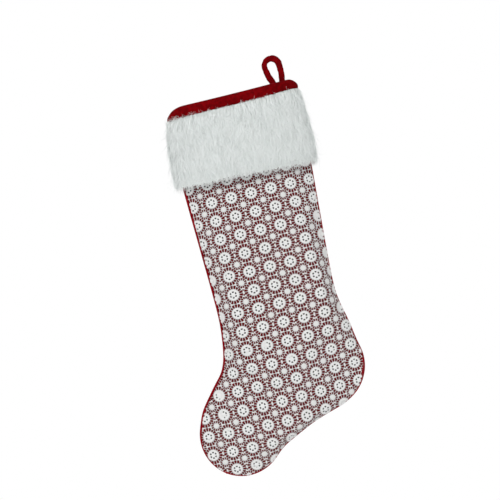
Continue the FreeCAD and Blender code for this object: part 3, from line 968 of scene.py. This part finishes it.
def hair_roots(travel, share):
    """Roots on the hide, their outward directions and their directions round the cuff."""
    turn = np.interp(travel % girth, table_travel, table_turn)
    low, high = cuff_edges(turn)
    roots, out = oval(turn, high + share * (low - high), HIDE_OUT)
    side = np.cross(out, (0, 0, 1))
    return roots, out, side / np.linalg.norm(side, axis=1)[:, None]


def hair_tips(travel, share, length, lift, sway):
    """Tips that hang by length below their roots, stand off by lift and lean by sway."""
    roots, out, side = hair_roots(travel, share)
    down = np.array((0, 0, -1.0))
    return roots + out * lift[:, None] + down * length[:, None] + side * sway[:, None]


def shorter_at_edge(share):
    """The share of its length that a hair has near the cuff's lower edge."""
    return np.interp(share, (0, 0.85, 1), (1.0, 1.0, 0.62))


def grow(count):
    """Each hair's place, its length, lift and sway, and whether it strays from its tuft."""
    travel, share = rng.uniform(0, girth, count), rng.uniform(0, 1, count) ** 0.85
    length = rng.normal(HAIR_LENGTH, HAIR_SPREAD, count) * MM
    length *= shorter_at_edge(share)
    length *= 1 + 0.5 * (rng.random(count) < 0.12)
    lift = rng.normal(5.2, 1.5, count).clip(1, 9) * MM
    sway = rng.normal(0, 4.5, count) * MM
    stray = rng.random(count) < 0.08
    lift[stray] += 1.5 * MM
    sway[stray] *= 2.2

    # The pile bulges at the toe side and lies closer at the heel side.
    toward_heel = np.cos(np.interp(travel % girth, table_travel, table_turn))
    toe_share = np.clip(-toward_heel * 2.5 - 1.3, 0, 1)
    lift += 3.0 * MM * toe_share * np.exp(-((share - 0.3) / 0.25) ** 2)
    lift -= 1.8 * MM * np.clip(toward_heel * 2.5 - 1.3, 0, 1) * share

    # A few hairs near the top stand up over the binding's lower edge, most at the toe side.
    risen = (share > 0.035) & (share < 0.10) & (rng.random(count) < 0.06 + 0.30 * toe_share)
    length[risen] = rng.uniform(-7, 0, risen.sum()) * MM
    lift[risen] = rng.uniform(4.2, 6.0, risen.sum()) * MM
    return travel, share, length, lift, sway, stray | risen


def lean_to_tufts(tips, travel, share, stray):
    """The tips drawn to their tuft's, which is the nearest of a jittered grid."""
    row = np.floor(share * TUFT_ROWS).astype(int)
    column = np.floor(travel / TUFT_ACROSS + 0.5 * row).astype(int) % TUFT_COLUMNS
    row = row.clip(0, TUFT_ROWS - 1)
    along, down, size, lean = tuft_table[row * TUFT_COLUMNS + column].T
    tuft_travel = (column + 0.5 - 0.5 * row + along * 0.35) * TUFT_ACROSS
    tuft_share = ((row + 0.5 + down * 0.35) / TUFT_ROWS).clip(0, 1)
    tuft_length = (HAIR_LENGTH + HAIR_SPREAD * size) * MM * shorter_at_edge(tuft_share)
    tuft_lift = 5.5 * MM + size * 1.2 * MM
    tuft_tips = hair_tips(tuft_travel, tuft_share, tuft_length, tuft_lift, lean * 3.0 * MM)
    pull = rng.uniform(0.15, 0.65, len(tips))[:, None]
    pull[stray] = 0.05
    return tips * (1 - pull) + tuft_tips * pull


def make_hairs(name, count):
    """Hairs as ribbons of three quads that narrow to the tip, all in one mesh."""
    travel, share, length, lift, sway, stray = grow(count)
    tips = lean_to_tufts(hair_tips(travel, share, length, lift, sway), travel, share, stray)
    roots, out, _ = hair_roots(travel, share)
    reach = np.linalg.norm(tips - roots, axis=1)[:, None]
    elbow = roots + out * reach * rng.uniform(0.30, 0.42, (count, 1)) + (0, 0, -1) * reach * 0.25
    elbow += rng.normal(0, 0.9 * MM, (count, 3))
    facing = out + rng.normal(0, 0.55, (count, 3))
    edges = []
    for step, width in HAIR_STEPS:
        middle = roots * (1 - step) ** 2 + elbow * 2 * step * (1 - step) + tips * step ** 2
        ahead = (elbow - roots) * (1 - step) + (tips - elbow) * step
        across = np.cross(ahead, facing)
        across *= width * MM / 2 / np.linalg.norm(across, axis=1)[:, None]
        edges += [middle - across, middle + across]
    points = np.stack(edges, axis=1).reshape(-1, 3)
    quads = np.array(((0, 1, 3, 2), (2, 3, 5, 4), (4, 5, 7, 6)))
    faces = (np.arange(count)[:, None, None] * len(edges) + quads).reshape(-1, 4)
    piece = add_many_quads(name, points, faces, fur_finish)
    chance = np.repeat(rng.random(count), len(edges))
    along = np.tile(np.repeat([step for step, _ in HAIR_STEPS], 2), count)
    add_uv(piece, "strand", np.column_stack((chance, along)))
    return piece


hairs = [make_hairs(f"cuff_hairs_{k + 1}", HAIRS // 3) for k in range(3)]
print("the cuff has", HAIRS, "hairs round", round(girth * 1000), "mm")

# %% [markdown]
# ## The velvet binding
# A strip of velvet folded over the rim, padded by the seam allowances inside. Its outer face bulges
# and its lower edge is stitched down over the fur. The top line sags a little between the corners,
# and turns down at the two side seams.

# %% The binding
def heel_rise(turn):
    """The share by which the binding's lower edge is drawn up at the heel side."""
    return np.interp(np.cos(turn), (0.5, 1), (0, 0.2))


# Each point of the folded strip: out from the oval and height in mm, and its share of the rim's drop.
PROFILE = ((3.4, -14.2, 0.4), (4.4, -13.6, 0.42), (5.0, -11.4, 0.45), (5.2, -7.5, 0.65), (4.6, -3.6, 0.85),
           (2.8, -1.2, 1.0), (1.2, -0.1, 1.0), (-0.8, 0.0, 1.0), (-2.6, -0.6, 1.0), (-4.2, -2.2, 0.9),
           (-5.0, -5.0, 0.8), (-5.0, -10.0, 0.6), (-4.9, -14.6, 0.5))
around = np.linspace(0, 2 * math.pi, 360, endpoint=False)
pucker = np.zeros(len(around))
for waves, size in ((31, 0.16), (47, 0.14), (73, 0.12), (19, 0.15)):
    pucker += size * np.sin(waves * around + rng.uniform(0, 2 * math.pi))
rows = []
for out, v, moved in PROFILE:
    rise = heel_rise(around) if v < -5 else 0
    puff = (out + pucker * (0.9 if out > 3 else 0.3)) * MM
    row, _ = oval(around, np.zeros(len(around)), puff)
    row[:, 2] += v * MM * (1 - rise) - rim_drop(np.cos(around)) * moved
    rows.append(row)
binding_faces = ring_faces(len(PROFILE), len(around))
binding = add_mesh("velvet_binding", np.concatenate(rows), binding_faces, bright_velvet)
binding.data.flip_normals()
solidify(binding, 1.1 * MM)
smooth_once(binding)
apply_modifiers(binding)
print("the binding spans", [round(x * 1000) for x in binding.dimensions], "mm")

# %% The stitches of the binding and the cuff
rim_turn = np.linspace(0, 2 * math.pi, 500)
stitch_line, _ = oval(rim_turn, np.zeros(len(rim_turn)), 4.9 * MM)
stitch_line[:, 2] = -12.4 * MM * (1 - heel_rise(rim_turn)) - rim_drop(np.cos(rim_turn)) * 0.5
binding_stitches = stitch_row("binding_stitches", stitch_line, RIM_STITCH, THREAD,
                              red_thread, (0, 0, 1), 0.1 * MM)
UNDER_FUR = 2.6 * MM
cuff_seam, _ = oval(rim_turn, cuff_edges(rim_turn)[1] - 0.5 * MM, UNDER_FUR)
cuff_top_stitches = stitch_row("cuff_top_stitches", cuff_seam, RIM_STITCH, THREAD, white_thread, (0, 0, 1))
cuff_sides = []
for k, (turn, out) in enumerate(((0.0, (1, 0, 0)), (math.pi, (-1, 0, 0)))):
    heights = np.linspace(-14 * MM, -90 * MM, 30)
    side_seam, _ = oval(np.full(len(heights), turn), heights, UNDER_FUR)
    name = f"cuff_side_stitches_{k + 1}"
    cuff_sides.append(stitch_row(name, side_seam, RIM_STITCH, 0.6 * MM, white_thread, out))

# %% [markdown]
# ## The strap loop
# One velvet strap, folded lengthways into a flat roll, rises from inside the back of the mouth,
# turns over and goes back down. Its inner edge crowds at the turn and folds into small creases.
# The two ends are tacked to the inside of the binding.

# %% The strap
STRAP_WIDTH, STRAP_THICKNESS = 7.9 * MM, 4.0 * MM
LOOP_RADIUS, LOOP_OFFSET = 9.8 * MM, -2 * MM
LOOP_TOP = HOOK_HEIGHT + 3.8 * MM
FOOT_LEFT, FOOT_RIGHT = -5.6 * MM, 6.4 * MM
TAIL_END = -20.5 * MM
LOOP_Y = -BAG_MIDDLE_Y


def strap_path():
    """The strap's middle line: up from one sewn end, round the top and down to the other."""
    centre = (LOOP_OFFSET, LOOP_TOP - LOOP_RADIUS)
    path = [(FOOT_LEFT, TAIL_END), (FOOT_LEFT, -8 * MM), (FOOT_LEFT, 2.4 * MM),
            (FOOT_LEFT - 3.6 * MM, 10.5 * MM)]
    for turn in np.radians(np.linspace(176, 4, 15)):
        path.append((centre[0] + LOOP_RADIUS * math.cos(turn), centre[1] + LOOP_RADIUS * math.sin(turn)))
    path += [(FOOT_RIGHT + 1.6 * MM, 11 * MM), (FOOT_RIGHT, 2.4 * MM),
             (FOOT_RIGHT, -8 * MM), (FOOT_RIGHT, TAIL_END)]
    line = np.array([(HOOK_FROM_MIDDLE + u, LOOP_Y, v) for u, v in path])
    return softened(even_points(line, 0.6 * MM), 24)


# %% The strap's section, carried along its line
SIDES = 28
strap_line = strap_path()
outs, across = frames_along(strap_line)
steps = len(strap_line)
flow = np.arange(steps)
at_turn = np.exp(-((flow - steps / 2) / (steps * 0.14)) ** 2)
waves = ((0.5, 0.42, 0.3), (0.35, 0.77, 1.7), (0.25, 1.31, 4.0))
creases = sum(size * np.sin(flow * rate + phase) for size, rate, phase in waves)
in_mouth = np.clip(-strap_line[:, 2] / (8 * MM), 0, 1)
width_share = np.interp(flow / steps, (0, 0.25, 0.42, 0.55, 0.7, 1), (1.1, 1.05, 0.88, 1.12, 1, 1))
inner_side = 1 if across[steps // 2][2] < 0 else -1
strap_points = []
for k in range(steps):
    half_wide = STRAP_WIDTH / 2 * width_share[k] * (1 + 0.05 * creases[k])
    half_thick = STRAP_THICKNESS / 2 * (1 - 0.42 * in_mouth[k])
    for turn in np.linspace(0, 2 * math.pi, SIDES, endpoint=False):
        wide, thick = math.cos(turn), math.sin(turn)
        crease = creases[k] * (0.16 + 0.85 * at_turn[k] * max(0.0, wide * inner_side))
        flat = math.copysign(abs(wide) ** 0.8, wide) * half_wide
        deep = math.copysign(abs(thick) ** 0.8, thick) * (half_thick + crease * 0.55 * MM)
        strap_points.append(strap_line[k] + across[k] * flat + outs[k] * deep)
strap_faces = ring_faces(steps, SIDES) + end_caps(steps, SIDES)
strap = add_mesh("velvet_strap", strap_points, strap_faces, bright_velvet)
face_outward(strap)
print("the strap has", steps, "rings")

# %% [markdown]
# ## Bar tacks and the care label
# A zigzag of red thread holds each end of the strap to the binding. A blank woven label hangs
# inside the back, on the toe side.

# %% Bar tacks and label
TACK_REACH = 2.4 * MM
tacks = []
for k, foot in enumerate((FOOT_LEFT, FOOT_RIGHT)):
    zigzag = []
    for n in range(8):
        sideways = -TACK_REACH if n % 2 else TACK_REACH
        zigzag.append((HOOK_FROM_MIDDLE + foot + sideways, LOOP_Y - 1.4 * MM, -18 * MM + n * 1.3 * MM))
    tack = stitch_row(f"bar_tack_{k + 1}", np.array(zigzag), 2.4 * MM, 0.8 * MM, red_thread, (0, -1, 0))
    tacks.append(tack)
label_line = np.linspace(-41 * MM, -19 * MM, 23)
label_heights = np.linspace(-16 * MM, -50 * MM, 30)
label_turn = np.arccos(np.clip((label_line + 1 * MM) / (84 * MM), -1, 1))
label_rows = []
for height in label_heights:
    inward = -6.4 * MM - 0.5 * MM * np.sin(height * 300)
    label_rows.append(oval(label_turn, np.full(len(label_line), height), inward)[0])
label_faces = ring_faces(len(label_heights), len(label_line), closed=False)
label = add_mesh("woven_label", np.concatenate(label_rows), label_faces, label_tape)
solidify(label, 0.35 * MM, 0.0)
apply_modifiers(label)

# %% [markdown]
# ## Hang the pieces
# Every piece is turned to the hanging pose, rides on the body it belongs to and stands for its
# CAD nodes. The strap is turned to the pose too and stands for the loop's CAD nodes.

# %% Turn, ride and stand in for the CAD nodes
PIECES = (
    (front_panel, "red_backing", ("front_panel",)),
    (back_panel, "red_velvet", ("back_panel",)),
    (edge_roll, "red_velvet", ()),
    (lining, "lining_cloth", ("lining_front", "lining_back")),
    (shell_seam, "red_thread", ("shell_seam",)),
    (lining_seam, "red_thread", ("lining_seam",)),
    (lace_net, "white_lace", ("lace_overlay",)),
    (lace_flowers, "white_lace", ()),
    (lace_dots, "white_lace", ()),
    (painted_shadow_discs, "red_backing", ()),
    (hide, "white_fur", ("cuff_front", "cuff_back")),
    *((piece, "white_fur", ()) for piece in hairs),
    (binding, "red_velvet", ("mouth_binding",)),
    (binding_stitches, "red_thread", ("binding_stitching",)),
    (cuff_top_stitches, "white_thread", ("cuff_top_seam",)),
    (cuff_sides[0], "white_thread", ("cuff_side_seams",)),
    (cuff_sides[1], "white_thread", ()),
    (tacks[0], "red_thread", ("loop_bar_tack",)),
    (tacks[1], "red_thread", ()),
    (label, "label_tape", ("care_label",)),
)
for piece, finish_slot, nodes in PIECES:
    hang(piece)
    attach(piece, "stocking")
    if nodes:
        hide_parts(*nodes)
hang(strap)
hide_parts("hanging_loop", "loop_tails")
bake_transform(strap)
bpy.data.objects.remove(bag)

# %% [markdown]


# %% [markdown]
# ## Set, light and camera
# A pale floor well below the stocking, a white surround and one large soft light from the front
# and above, with a weaker one at one side and another behind. The camera is level with the stocking's
# middle.

# %% Floor, light and camera
FLOOR_HEIGHT = -0.78
bpy.ops.mesh.primitive_circle_add(vertices=96, radius=1.2, fill_type="NGON", location=(0, 0, FLOOR_HEIGHT))
floor = bpy.context.object
floor.name = "floor"
floor_finish = Finish("pale_floor", 0.9)
floor_finish.shader.inputs["Base Color"].default_value = (0.86, 0.86, 0.86, 1)
floor.data.materials.append(floor_finish.material)


LIT_PLACE = Vector((-0.03, 0, -0.25))


def soft_light(name, place, size, power):
    bpy.ops.object.light_add(type="AREA", location=place)
    light = bpy.context.object
    light.name = name
    light.data.size, light.data.energy = size, power
    light.rotation_euler = (LIT_PLACE - Vector(place)).to_track_quat("-Z", "Y").to_euler()
    return light


key = soft_light("key_light", (-1.3, -2.2, 1.2), 1.6, 52)
fill = soft_light("fill_light", (1.8, -2.0, 0.0), 1.8, 19)
back = soft_light("back_light", (0.9, 2.3, 0.9), 1.8, 45)
world = bpy.data.worlds.new("white_surround")
bpy.context.scene.world = world
world.use_nodes = True
nodes, links = world.node_tree.nodes, world.node_tree.links
ambient, seen = nodes["Background"], nodes.new("ShaderNodeBackground")
for background, strength in ((ambient, 0.47), (seen, 1.0)):
    background.inputs["Color"].default_value = (1, 1, 1, 1)
    background.inputs["Strength"].default_value = strength
light_path = nodes.new("ShaderNodeLightPath")
mixer = nodes.new("ShaderNodeMixShader")
links.new(light_path.outputs["Is Camera Ray"], mixer.inputs[0])
links.new(ambient.outputs[0], mixer.inputs[1])
links.new(seen.outputs[0], mixer.inputs[2])
links.new(mixer.outputs[0], nodes["World Output"].inputs[0])
bpy.context.scene.view_settings.view_transform = "Standard"

SENSOR_WIDTH_MM, CAMERA_DISTANCE, VIEW_WIDTH = 36, 2.4, 0.65
camera_place = (-28.6 * MM, -CAMERA_DISTANCE, -245.7 * MM)
bpy.ops.object.camera_add(location=camera_place, rotation=(math.pi / 2, 0, 0))
camera = bpy.context.object
camera.data.lens = SENSOR_WIDTH_MM * CAMERA_DISTANCE / VIEW_WIDTH
bpy.context.scene.camera = camera
